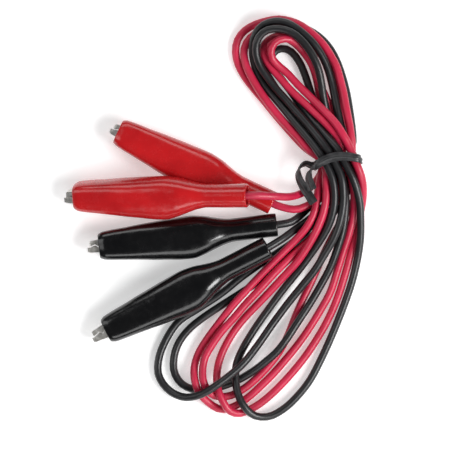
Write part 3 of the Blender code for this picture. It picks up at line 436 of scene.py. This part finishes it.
def red_route():
    """The red lead's points, from the front red clip to the rear one."""
    return [
        *clip_exit("front_red"),
        # from the front red clip into the tie
        (12.8, 9.0, 12.9), (16.4, 8.6, 11.3), (19.9, 8.2, 7.4), (22.9, 8.9, 4.0), (25.4, 10.7, 2.2),
        (27.3, 13.4, 1.6),
        tie_slot(-3.85, 0),
        # up the top loop's right leg, over, and down its left leg
        (28.8, 21.2, 1.6), (28.8, 25.8, 1.3), (28.6, 30.4, 1.2), (27.8, 34.9, 1.2), (26.8, 39.5, 1.2),
        (25.3, 43.3, 1.2), (23.2, 46.1, 1.2), (21.2, 48.2, 1.8), (18.8, 49.7, 2.8), (16.6, 50.0, 3.2),
        (14.4, 49.0, 3.2), (13.1, 47.1, 3.2),
        (13.1, 44.8, 3.4), (14.5, 42.2, 3.4), (16.9, 39.0, 3.4), (19.7, 35.4, 3.4), (23.0, 31.9, 4.0),
        (26.5, 28.1, 5.4), (29.6, 24.5, 6.6), (31.9, 21.2, 6.2),
        tie_slot(0.55, 2),
        # down the right side, round the bottom, and up the left side
        (34.7, 14.6, 4.6), (35.9, 11.0, 4.0), (36.4, 7.2, 3.0), (36.2, 3.2, 2.2), (35.2, -1.1, 1.6),
        (33.7, -5.7, 1.2), (32.1, -10.5, 1.1), (30.4, -15.4, 1.1), (27.8, -19.9, 1.1), (24.8, -24.5, 1.1),
        (21.7, -28.6, 1.1), (18.4, -32.4, 1.1), (15.6, -35.4, 1.1), (12.8, -38.2, 1.1), (10.3, -40.8, 1.1),
        (8.0, -42.8, 1.1), (5.2, -44.6, 1.1), (2.2, -45.2, 1.1),
        (-0.9, -43.3, 1.6), (-3.2, -40.5, 3.2), (-4.2, -37.0, 3.2), (-4.1, -33.7, 1.6), (-2.9, -30.4, 1.1),
        (-0.6, -26.8, 1.1), (2.7, -22.5, 1.1), (6.0, -18.4, 1.1), (9.3, -14.9, 1.1), (13.1, -11.0, 1.6),
        (17.4, -6.7, 2.2), (21.2, -2.9, 2.6), (24.5, 0.9, 3.6), (26.3, 4.4, 3.8), (27.1, 8.0, 3.4),
        (27.6, 11.3, 3.4), (28.3, 14.6, 3.5),
        tie_slot(-2.75, 1),
        # up the top loop's left leg, over, and down its right leg
        (24.5, 21.0, 2.8), (21.5, 24.1, 2.0), (18.7, 27.3, 1.4), (16.1, 30.4, 1.1), (13.7, 33.4, 1.1),
        (11.6, 35.9, 1.1), (9.4, 38.7, 1.1), (7.6, 41.8, 1.1), (6.6, 45.1, 1.1), (6.9, 48.1, 1.1),
        (8.5, 50.4, 1.1), (11.0, 51.9, 1.1), (14.1, 52.8, 1.4), (17.1, 53.1, 2.4), (19.9, 52.7, 3.2),
        (22.5, 51.7, 3.2), (25.3, 49.7, 3.2), (27.8, 47.2, 3.2), (29.7, 44.3, 3.2), (31.1, 41.4, 3.2),
        (31.9, 38.2, 3.2), (32.6, 34.9, 3.2), (33.0, 31.9, 3.4), (33.5, 28.1, 4.0), (33.9, 24.5, 4.8),
        (34.3, 21.2, 5.3),
        tie_slot(2.75, 2),
        # down the right side, under its neighbours, round the bottom, and up the left side
        (36.1, 15.1, 4.6), (36.4, 11.6, 3.0), (35.6, 8.0, 1.6), (33.8, 4.4, 1.1), (31.6, 0.6, 1.1),
        (29.6, -3.4, 1.1), (27.7, -7.7, 1.1), (25.7, -12.6, 1.1), (23.5, -17.4, 1.1), (21.5, -22.2, 1.1),
        (19.7, -26.8, 1.1), (17.4, -31.1, 1.1), (14.6, -34.7, 1.1), (11.3, -38.0, 1.1), (8.0, -40.4, 1.1),
        (5.0, -41.8, 1.1), (1.9, -42.0, 1.4),
        (-0.6, -40.8, 2.8), (-2.2, -38.2, 3.6), (-2.5, -35.2, 3.2), (-1.9, -31.9, 2.8), (-0.1, -28.6, 2.8),
        (2.4, -25.0, 2.8), (5.5, -21.5, 2.8), (8.5, -17.9, 2.8), (11.8, -14.4, 2.8), (15.6, -10.3, 2.8),
        (19.9, -6.2, 3.0), (23.7, -2.5, 3.2), (27.1, 1.1, 3.2), (29.8, 5.0, 3.2), (31.6, 9.0, 3.4),
        (32.9, 13.6, 3.5),
        tie_slot(1.65, 1),
        # up the top loop's right leg, over, and down its left leg
        (32.1, 21.2, 3.0), (31.1, 24.8, 2.4), (29.8, 28.8, 2.0), (28.3, 32.9, 1.8), (26.8, 36.7, 1.8),
        (25.8, 40.0, 1.8), (24.5, 43.3, 1.8), (22.8, 46.1, 1.8), (20.6, 48.3, 3.6), (18.2, 49.0, 5.0),
        (15.9, 48.2, 5.2), (14.7, 46.2, 5.2),
        (15.1, 43.9, 4.6), (16.6, 42.0, 3.8), (18.9, 40.0, 3.4), (21.5, 37.1, 3.4), (24.3, 34.2, 4.0),
        (27.3, 31.0, 5.2), (30.4, 27.8, 6.8), (32.9, 24.3, 8.0), (34.7, 21.2, 7.8),
        tie_slot(3.85, 3),
        # down the right edge, round the bottom, and up the left side
        (37.0, 15.1, 6.4), (37.7, 11.8, 4.8), (37.7, 8.3, 3.0), (37.1, 4.4, 1.6), (36.2, -0.1, 1.2),
        (35.2, -5.2, 1.1), (33.9, -11.0, 1.1), (32.1, -17.4, 1.1), (29.6, -23.0, 1.1), (26.8, -27.8, 1.1),
        (24.0, -31.9, 1.1), (21.2, -35.4, 1.1), (18.2, -38.7, 1.1), (15.0, -41.8, 1.1), (12.1, -44.1, 1.1),
        (9.0, -45.8, 1.1), (6.5, -46.5, 1.4),
        (4.4, -45.6, 2.4), (2.7, -43.3, 3.2), (1.4, -40.3, 3.2), (1.1, -36.7, 1.8), (1.7, -33.1, 1.1),
        (3.2, -29.3, 1.1), (5.5, -25.3, 1.1), (8.0, -22.0, 1.1), (11.0, -18.7, 1.1), (14.4, -14.9, 1.2),
        (17.7, -11.0, 1.6), (21.0, -7.0, 2.6), (24.0, -2.7, 3.8), (26.5, 1.7, 4.8), (28.1, 6.0, 5.4),
        (28.6, 10.0, 5.6), (28.3, 13.6, 5.6),
        tie_slot(-3.85, 2),
        # up the top loop's left leg, over, and down its right leg
        (24.3, 21.2, 4.9), (22.0, 24.8, 4.2), (19.7, 27.9, 3.4), (17.3, 31.1, 2.8), (14.9, 34.2, 2.4),
        (12.8, 37.0, 2.2), (10.8, 40.3, 2.0), (9.5, 43.3, 1.6), (9.1, 46.4, 1.2), (9.8, 48.6, 1.2),
        (11.4, 50.3, 1.2), (13.8, 51.3, 1.2), (16.6, 51.7, 2.2), (19.4, 51.1, 3.2),
        (22.0, 49.7, 2.8), (24.6, 47.8, 1.4), (26.9, 45.8, 1.2), (28.8, 43.1, 1.2), (30.1, 40.0, 1.2),
        (30.9, 36.4, 1.2), (31.6, 32.6, 1.2), (32.3, 28.8, 1.4), (32.8, 25.0, 1.6), (33.0, 21.5, 1.6),
        tie_slot(0.55, 0),
        # from the tie to the rear red clip
        (32.4, 14.4, 1.6), (30.6, 11.3, 1.6), (28.1, 8.8, 2.8), (25.0, 6.9, 3.4), (21.5, 5.6, 3.9),
        *reversed(clip_exit("rear_red")),
    ]


def black_route():
    """The black lead's points, from the upper black clip to the lower one."""
    return [
        *clip_exit("upper_black"),
        # from the upper black clip into the tie
        (20.6, 2.5, 3.2), (23.2, 4.6, 1.8), (25.4, 7.0, 1.2), (27.3, 9.9, 1.2), (29.1, 13.6, 1.5),
        tie_slot(-1.65, 0),
        # up the top loop's right leg, over, and down its left leg
        (31.1, 21.5, 1.6), (30.5, 25.8, 1.8), (29.7, 30.4, 2.4), (28.7, 34.9, 3.2), (28.1, 38.5, 3.8),
        (27.2, 42.0, 4.6), (25.4, 45.6, 5.0), (23.0, 48.6, 5.0), (20.2, 50.7, 5.0), (16.9, 51.6, 5.0),
        (13.8, 51.1, 5.0), (11.9, 49.1, 4.6),
        (11.4, 46.1, 3.8), (12.4, 42.5, 3.2), (14.4, 39.2, 3.0), (16.6, 36.2, 3.0), (19.2, 33.1, 3.4),
        (21.7, 30.1, 4.2), (24.8, 26.8, 5.2), (27.6, 23.7, 6.4), (29.8, 21.0, 7.2),
        tie_slot(-0.55, 3),
        # down the middle, round the far left, and up the left side
        (32.9, 14.6, 7.0), (33.5, 10.5, 6.4), (33.4, 6.5, 5.8), (32.6, 2.4, 5.2), (31.1, -1.7, 4.6),
        (28.8, -5.7, 4.0), (26.3, -9.8, 3.6), (23.1, -13.8, 3.2), (19.7, -18.0, 2.8), (15.6, -23.5, 2.6),
        (11.6, -29.2, 3.4), (8.3, -33.3, 4.6), (5.0, -36.3, 4.8), (1.4, -39.0, 5.2), (-2.7, -41.4, 5.0),
        (-7.1, -42.2, 2.6), (-11.0, -40.4, 1.2), (-13.5, -36.7, 1.1), (-13.5, -32.6, 1.1),
        (-11.7, -27.8, 1.1), (-8.5, -23.1, 1.1), (-3.4, -19.7, 1.1), (2.4, -15.9, 1.1), (7.7, -11.6, 1.1),
        (13.2, -7.7, 1.1), (17.4, -4.9, 1.1), (21.2, -2.1, 1.1), (24.3, 0.8, 1.4), (27.1, 3.6, 2.6),
        (29.1, 7.0, 3.2), (30.4, 10.8, 3.4), (30.9, 14.6, 3.5),
        tie_slot(-0.55, 1),
        # up the top loop's right leg, over, and down its left leg
        (30.9, 21.2, 3.2), (29.8, 25.3, 2.8), (28.6, 29.3, 2.4), (27.1, 33.4, 1.8), (25.7, 37.0, 1.4),
        (24.4, 40.3, 1.2), (22.9, 43.3, 1.2), (21.0, 45.6, 1.2), (18.6, 46.8, 1.2), (16.2, 46.2, 1.2),
        (14.7, 44.2, 1.2),
        (15.2, 41.8, 1.2), (17.2, 39.4, 1.2), (20.2, 35.8, 1.2), (22.7, 32.6, 1.8), (25.5, 29.3, 3.0),
        (28.3, 26.0, 4.6), (30.6, 23.0, 6.4), (32.6, 20.4, 7.2),
        tie_slot(1.65, 3),
        # down the right edge, round the bottom, and up the left side
        (35.4, 14.9, 7.0), (36.8, 11.3, 6.0), (37.6, 7.2, 5.0), (37.7, 2.9, 3.8), (37.5, -1.7, 2.6),
        (36.7, -6.5, 1.4), (35.3, -12.3, 1.1), (33.1, -18.7, 1.1), (30.6, -25.5, 1.1), (27.8, -32.1, 1.1),
        (24.8, -38.0, 1.1), (21.7, -42.0, 1.1), (18.4, -45.1, 1.1), (14.6, -47.1, 1.2),
        (11.0, -46.9, 2.0), (8.4, -44.7, 3.2), (6.7, -41.4, 3.2), (6.1, -37.7, 2.8), (6.3, -34.0, 2.2),
        (7.6, -30.6, 1.4), (10.7, -25.3, 1.1), (14.6, -19.7, 1.1), (18.4, -14.6, 1.4), (22.1, -10.0, 2.0),
        (24.9, -6.2, 3.0), (27.6, -2.3, 4.2), (29.7, 1.4, 5.4), (31.0, 5.5, 6.4), (31.4, 9.3, 7.0),
        (30.9, 13.3, 7.3),
        tie_slot(-2.75, 3),
        # up the top loop's left leg, over, and down its right leg
        (26.5, 21.5, 6.4), (23.5, 24.8, 5.2), (20.7, 27.8, 4.2), (18.2, 30.6, 3.2), (15.6, 33.7, 2.2),
        (13.3, 36.7, 1.4), (11.4, 39.9, 1.2), (10.0, 43.3, 1.6), (9.7, 46.4, 2.6), (10.4, 49.4, 4.2),
        (12.3, 51.7, 5.0), (15.1, 52.8, 5.0), (18.2, 52.6, 5.0), (21.0, 51.2, 5.0), (23.5, 49.3, 5.0),
        (25.8, 47.0, 4.8), (27.7, 44.2, 4.2), (29.1, 41.0, 3.6), (30.0, 37.7, 3.2), (30.6, 34.2, 3.2),
        (31.2, 30.4, 3.2), (32.0, 26.5, 3.2), (33.1, 22.5, 3.4),
        tie_slot(3.85, 1),
        # down under the left side, round the bottom, and up the right side
        (35.2, 14.9, 3.2), (34.2, 10.8, 2.2), (31.9, 6.5, 1.2), (28.6, 2.2, 1.1), (24.8, -1.9, 1.1),
        (20.2, -5.9, 1.1), (15.8, -9.9, 1.1), (11.9, -13.1, 1.1), (7.3, -16.2, 1.1), (2.6, -19.2, 1.1),
        (-1.9, -22.2, 1.1), (-5.6, -25.2, 1.1), (-8.3, -28.8, 1.1), (-9.5, -32.6, 1.1), (-9.4, -36.4, 1.1),
        (-7.4, -39.5, 1.1), (-4.2, -41.0, 1.1), (-0.9, -41.1, 1.1), (2.4, -40.3, 1.1), (5.5, -39.1, 1.2),
        (8.5, -37.5, 1.6), (11.3, -35.6, 2.2), (13.8, -33.5, 3.0), (16.6, -30.9, 3.2), (19.4, -27.1, 3.2),
        (22.2, -22.7, 2.4), (25.3, -18.0, 1.4), (28.1, -13.3, 1.4), (30.4, -9.0, 2.0), (32.1, -4.4, 2.8),
        (33.4, 0.1, 3.4), (34.0, 5.0, 4.0), (33.9, 9.5, 4.6), (32.6, 14.1, 5.2),
        tie_slot(-1.65, 2),
        # up the top loop's left leg, over, and down its right leg
        (28.1, 21.5, 5.4), (25.3, 24.8, 4.2), (22.6, 27.8, 3.0), (20.2, 30.9, 2.0), (17.8, 33.9, 1.4),
        (15.7, 37.0, 1.2), (13.8, 40.5, 1.2), (12.8, 44.1, 1.2), (13.2, 47.1, 1.2), (15.1, 49.0, 1.2),
        (17.7, 50.0, 1.2), (20.4, 51.3, 1.2),
        (23.5, 51.6, 1.2), (26.8, 49.9, 1.3), (29.6, 47.1, 1.4), (31.5, 43.7, 1.4), (32.8, 39.9, 1.4),
        (33.8, 35.7, 1.4), (34.4, 31.5, 1.4), (34.8, 27.6, 1.4), (35.1, 23.2, 1.5),
        tie_slot(2.75, 0),
        # from the tie to the lower black clip
        (33.1, 14.6, 1.4), (30.9, 10.8, 1.1), (28.3, 7.4, 1.1), (25.8, 4.6, 1.1), (23.1, 2.1, 1.8),
        (20.4, 0.0, 3.6), (17.5, -2.2, 5.1),
        *reversed(clip_exit("lower_black")),
    ]


def smooth_curve(points, step):
    """A curve through the points (centripetal Catmull-Rom), read at even steps along it."""
    before = 2 * np.array(points[0]) - points[1]
    after = 2 * np.array(points[-1]) - points[-2]
    knots = np.array([before, *points, after])
    fine_steps = 12
    fine = []
    for p0, p1, p2, p3 in zip(knots, knots[1:], knots[2:], knots[3:]):
        t1 = np.linalg.norm(p1 - p0) ** 0.5
        t2 = t1 + np.linalg.norm(p2 - p1) ** 0.5
        t3 = t2 + np.linalg.norm(p3 - p2) ** 0.5
        for t in np.linspace(t1, t2, fine_steps, endpoint=False):
            a1 = ((t1 - t) * p0 + t * p1) / t1
            a2 = ((t2 - t) * p1 + (t - t1) * p2) / (t2 - t1)
            a3 = ((t3 - t) * p2 + (t - t2) * p3) / (t3 - t2)
            b1 = ((t2 - t) * a1 + t * a2) / t2
            b2 = ((t3 - t) * a2 + (t - t1) * a3) / (t3 - t1)
            fine.append(((t2 - t) * b1 + (t - t1) * b2) / (t2 - t1))
    fine.append(knots[-2])
    return even_steps(np.array(fine), step)


def even_steps(points, step):
    """The same line, read at steps of about this length."""
    along = np.concatenate(([0.0], np.cumsum(np.linalg.norm(np.diff(points, axis=0), axis=1))))
    stations = np.linspace(0.0, along[-1], round(along[-1] / step) + 1)
    return np.stack([np.interp(stations, along, points[:, axis]) for axis in range(3)], axis=1)


def hold_in_tie(points):
    """Keeps the strands inside the tie where they pass through the waist."""
    left, right, bottom, top = TIE_INSIDE
    space = WIRE_RADIUS + TIE_SLACK
    away = points[:, :2] - TIE_CENTRE
    across = away @ TIE_ACROSS
    along = away @ (-TIE_ACROSS[1], TIE_ACROSS[0])
    held = (np.abs(along) < TIE_WIDTH + TIE_SLACK) & (np.abs(across) < 2 * right)
    inside = held * (np.clip(across, left + space, right - space) - across)
    points[:, :2] += inside[:, None] * TIE_ACROSS
    near = (np.abs(along) < 2 * TIE_WIDTH) & (np.abs(across) < right)
    points[near, 2] = np.clip(points[near, 2], bottom + space, top - space)


def ease_bends(line, step):
    """Opens every bend that is tighter than the lead allows."""
    most = step**2 / (2 * TIGHTEST_BEND)
    sag = line[1:-1] - (line[:-2] + line[2:]) / 2
    size = np.linalg.norm(sag, axis=1, keepdims=True)
    excess = sag * (1 - most / np.maximum(size, most))
    line[1:-1] -= EASE_SHARE * excess
    line[:-2] += EASE_SHARE / 2 * excess
    line[2:] += EASE_SHARE / 2 * excess


def lay_down(strands, step):
    """Moves the strands apart until none runs through another or through the table.

    Each round pushes every pair that is too close apart, and spreads the moves along the strands, so
    that one strand passes over the next in a long low hump. The last rounds only push. The held points
    at each end, in the clips, stay put.
    """
    rounds = 300
    last_rounds = 15
    look_again = 10
    held = 14
    rest = np.vstack(strands)
    ends = np.cumsum([0] + [len(strand) for strand in strands])
    fixed = np.zeros(len(rest), bool)
    lead = np.zeros(len(rest), int)
    for k, (first, last) in enumerate(zip(ends, ends[1:])):
        fixed[first : first + held] = True
        fixed[last - held : last] = True
        lead[first:last] = k
    number = np.arange(len(rest))
    apart = (lead[:, None] != lead) | (np.abs(number[:, None] - number) * step > OWN_STRETCH)
    apart &= number[:, None] < number
    now = rest.copy()
    for turn in range(rounds):
        if turn % look_again == 0:
            square = ((now[:, None] - now) ** 2).sum(axis=2)
            ones, others = np.nonzero(apart & (square < (STRAND_GAP + 1.0) ** 2))
        way = now[ones] - now[others]
        distance = np.sqrt((way**2).sum(axis=1))
        close = distance < STRAND_GAP
        one = ones[close]
        other = others[close]
        push = PUSH_SHARE * (STRAND_GAP / distance[close] - 1.0)[:, None] * way[close] * PILE_UP
        move = np.zeros_like(now)
        np.add.at(move, one, push)
        np.add.at(move, other, -push)
        met = np.bincount(np.concatenate((one, other)), minlength=len(now))
        now += move / np.maximum(met, 1)[:, None]
        for first, last in zip(ends, ends[1:]):
            ease_bends(now[first:last], step)
        if turn < rounds - last_rounds:
            shift = now - rest
            for first, last in zip(ends, ends[1:]):
                part = shift[first:last]
                part[1:-1] += SPREAD_SHARE * (part[:-2] + part[2:] - 2 * part[1:-1])
            now = rest + shift
        hold_in_tie(now)
        now[fixed] = rest[fixed]
        now[:, 2] = np.maximum(now[:, 2], REST_HEIGHT)
    return [now[first:last] for first, last in zip(ends, ends[1:])]


def add_lead(colour, centre_line):
    """One lead, from crimp to crimp, as a curve along its centre line."""
    curve = bpy.data.curves.new(colour + "_lead", "CURVE")
    curve.dimensions = "3D"
    curve.bevel_depth = WIRE_RADIUS * MM
    curve.bevel_resolution = 5
    curve.use_fill_caps = True
    spline = curve.splines.new("POLY")
    spline.points.add(len(centre_line) - 1)
    for target, point in zip(spline.points, centre_line):
        target.co = (*(Vector(point) * MM), 1.0)
    spline.use_smooth = True
    curve.materials.append(insulation(colour + "_insulation"))
    lead = link(bpy.data.objects.new(colour + "_lead", curve))
    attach(lead, "root")
    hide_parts(*(f"{colour}_lead_{k}" for k in (1, 2, 3)))


# ---- the boots -----------------------------------------------------------------------------------


def boot_section(x):
    """The boot's section at x, on smooth curves through BOOT_SECTIONS that never overshoot a row."""
    table = np.array(BOOT_SECTIONS)
    stations, values = table[:, 0], table[:, 1:]
    slopes = np.diff(values, axis=0) / np.diff(stations)[:, None]
    tangents = np.zeros_like(values)
    same_way = slopes[:-1] * slopes[1:] > 0
    total = np.where(same_way, slopes[:-1] + slopes[1:], 1.0)
    tangents[1:-1] = np.where(same_way, 2 * slopes[:-1] * slopes[1:] / total, 0.0)
    k = int(np.clip(np.searchsorted(stations, x) - 1, 0, len(stations) - 2))
    span = stations[k + 1] - stations[k]
    t = (x - stations[k]) / span
    return (
        values[k] * (1 + 2 * t) * (1 - t) ** 2
        + tangents[k] * span * t * (1 - t) ** 2
        + values[k + 1] * t * t * (3 - 2 * t)
        + tangents[k + 1] * span * t * t * (t - 1)
    )


def boot_ring(x, inset):
    """One cross-section, a rounded box, a little uneven as dipped vinyl is.

    Its flat sides are as wide as those of the part's section, which has CAD_SIDES corners.
    """
    low, high, half_thick, power = boot_section(x)
    half_thick -= inset
    flat = math.cos(math.pi / CAD_SIDES) ** (2 / power)
    ring = []
    for k in range(BOOT_SIDES):
        angle = 2 * math.pi * (k + 0.5) / BOOT_SIDES
        cosine = math.cos(angle)
        sine = math.sin(angle)
        reach = (high if cosine > 0 else low) - inset
        y = math.copysign(abs(cosine) ** (2 / power), cosine) * reach
        z = math.copysign(abs(sine) ** (2 / power), sine) * half_thick
        waves = math.sin(0.7 * x + 2.0 * angle) * math.sin(0.31 * x - angle)
        uneven = 1 - BOOT_UNEVEN * (1 + waves)
        ring.append((x, y * uneven, max(min(z * uneven / flat, half_thick), -half_thick)))
    return ring


def boot_mesh(name, neck_cut):
    """The sleeve: out along the skin, round the nose's lip, and back along the lining."""
    lip = BOOT_WALL / 2
    end = BOOT_SECTIONS[-1][0]
    stations = list(np.linspace(neck_cut + lip, end - lip, int((end - neck_cut) / BOOT_STEP)))
    turns = [math.pi * k / LIP_STEPS for k in range(1, LIP_STEPS)]
    rings = [boot_ring(x, 0.0) for x in stations]
    rings += [boot_ring(end - lip + lip * math.sin(a), lip - lip * math.cos(a)) for a in turns]
    rings += [boot_ring(x, BOOT_WALL) for x in reversed(stations)]
    rings += [boot_ring(neck_cut + lip - lip * math.sin(a), lip + lip * math.cos(a)) for a in turns]
    mesh = mesh_of_rings(name, rings, closed=True)
    shade(mesh, 60)
    return mesh


def make_boot(name, place, turns, neck_cut, material):
    """A boot's sleeve, set in its clip's frame in place of the part's boot."""
    mesh = boot_mesh(name + "_sleeve", neck_cut)
    matrix = clip_matrix(place, turns)
    matrix.translation *= MM
    mesh.transform(matrix)
    mesh.materials.append(material)
    boot = link(bpy.data.objects.new(name + "_sleeve", mesh))
    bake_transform(boot)
    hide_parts(name + "_boot")


# ---- the twist tie -------------------------------------------------------------------------------


def ribbon_profile():
    """The ribbon's section: flat wings and a ridge over the wire.

    Each point is a place across the ribbon, as a part of its half width, and a height in millimetres.
    """
    edge, wing, ridge = 0.06, 0.14, 0.36
    wing_outside, wing_inside, ridge_side = 0.94, 0.42, 0.342
    angles = [math.radians(angle) for angle in (-80, -50, -20, 20, 50, 80)]
    top = [(-1.0, edge), (-wing_outside, wing), (-wing_inside, wing)]
    top += [(ridge_side * math.sin(a), wing + (ridge - wing) * math.cos(a)) for a in angles]
    top += [(wing_inside, wing), (wing_outside, wing), (1.0, edge)]
    return top + [(across, -thick) for across, thick in reversed(top)]


def ribbon_ring(centre, wide, thick):
    return [centre + wide * across + thick * height for across, height in ribbon_profile()]


def tie_drift(across):
    """How far the band lies along the strands, at a place across the waist."""
    part = across / TIE_INSIDE[1]
    return TIE_BOW * (1 - part * part) + TIE_LEAN * (part + 1) / 2


def tie_band():
    """The strip where it goes round the waist: four round corners, and flats along its top and bottom."""
    across = Vector((*TIE_ACROSS, 0.0))
    along = Vector((-TIE_ACROSS[1], TIE_ACROSS[0], 0.0))
    wide = along * TIE_WIDTH / 2
    left, right, bottom, top = TIE_INSIDE
    reach = TIE_CORNER + TIE_THICKNESS * 0.5
    stations = []
    for x, z, start in ((right, top, 0), (left, top, 90), (left, bottom, 180), (right, bottom, 270)):
        middle_x = x - math.copysign(TIE_CORNER, x)
        middle_z = z - TIE_CORNER if z == top else z + TIE_CORNER
        turns = [math.radians(start + 90 * k / CORNER_STEPS) for k in range(CORNER_STEPS + 1)]
        stations += [(middle_x, middle_z, turn) for turn in turns]
        if start in (0, 180):
            parts = [1 - 2 * k / FLAT_STEPS for k in range(1, FLAT_STEPS)]
            stations += [(middle_x * part, middle_z, turns[-1]) for part in parts]
    rings = []
    for middle_x, middle_z, turn in stations:
        out = across * math.cos(turn) + Vector((0.0, 0.0, math.sin(turn)))
        drift = along * tie_drift(middle_x + TIE_CORNER * math.cos(turn))
        middle = Vector((*TIE_CENTRE, 0.0)) + drift + across * middle_x + Vector((0.0, 0.0, middle_z))
        lift = TIE_LIFT * max(0.0, math.sin(turn))
        rings.append(ribbon_ring(middle + out * (reach + lift), wide, out))
    return mesh_of_rings("tie_band", rings, closed=True)


def tie_tail(name, stations):
    """A free end: its stations are joined by smooth curves, and so are its width's directions.

    The directions are drawn way_scale times as long, so that steps of way_step between them are small.
    """
    way_scale = 10
    way_step = 0.1
    places = smooth_curve([place for place, _ in stations], TAIL_STEP)
    ways = smooth_curve([tuple(way_scale * value for value in way) for _, way in stations], way_step)
    rings = []
    for k, place in enumerate(places):
        before = Vector(places[max(k - 1, 0)])
        after = Vector(places[min(k + 1, len(places) - 1)])
        heading = (after - before).normalized()
        wide = Vector(ways[round(k * (len(ways) - 1) / (len(places) - 1))])
        wide = (wide - heading * wide.dot(heading)).normalized()
        thick = heading.cross(wide)
        rings.append(ribbon_ring(Vector(place), wide * TIE_WIDTH / 2, thick))
    return mesh_of_rings(name, rings)


def make_tie(material):
    pieces = (
        (tie_band(), "twist_tie_band"),
        (tie_tail("tie_long_end", LONG_ROOT + LONG_TAIL), "twist_tie_long_end"),
        (tie_tail("tie_short_end", SHORT_ROOT + SHORT_TAIL), "twist_tie_short_end"),
    )
    for mesh, node in pieces:
        shade(mesh, 40)
        mesh.materials.append(material)
        obj = link(bpy.data.objects.new(mesh.name, mesh))
        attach(obj, "root")
        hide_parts(node)


# ---- what stays from the CAD ---------------------------------------------------------------------


def finish_metal():
    """Better materials on the clips' own metal, and a small radius on the sheet's edges."""
    nickel = plated_metal("nickel_plate")
    steel = plated_metal("spring_steel")
    copper = stranded_copper()
    finishes = {"_jaw": nickel, "_pivot_pin": steel, "_spring": steel, "_wire_core": copper}
    for name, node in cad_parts.items():
        for ending, material in finishes.items():
            if name.endswith(ending):
                node.data.materials.clear()
                node.data.materials.append(material)
        if name.endswith("_jaw"):
            bevel = node.modifiers.new("edge", "BEVEL")
            bevel.width = SHEET_EDGE * MM
            bevel.segments = 2
            bevel.limit_method = "ANGLE"
            bevel.angle_limit = math.radians(30)


def main():
    make_camera()
    routes = [smooth_curve(route, LEAD_STEP) for route in (red_route(), black_route())]
    red_line, black_line = lay_down(routes, LEAD_STEP)
    add_lead("red", red_line)
    add_lead("black", black_line)
    skins = {colour: vinyl(colour + "_vinyl") for colour in ("red", "black")}
    for name, colour, place, turns, neck_cut, _ in CLIPS:
        make_boot(name, place, turns, neck_cut, skins[colour])
    make_tie(tie_plastic())
    finish_metal()
    make_stage()


main()
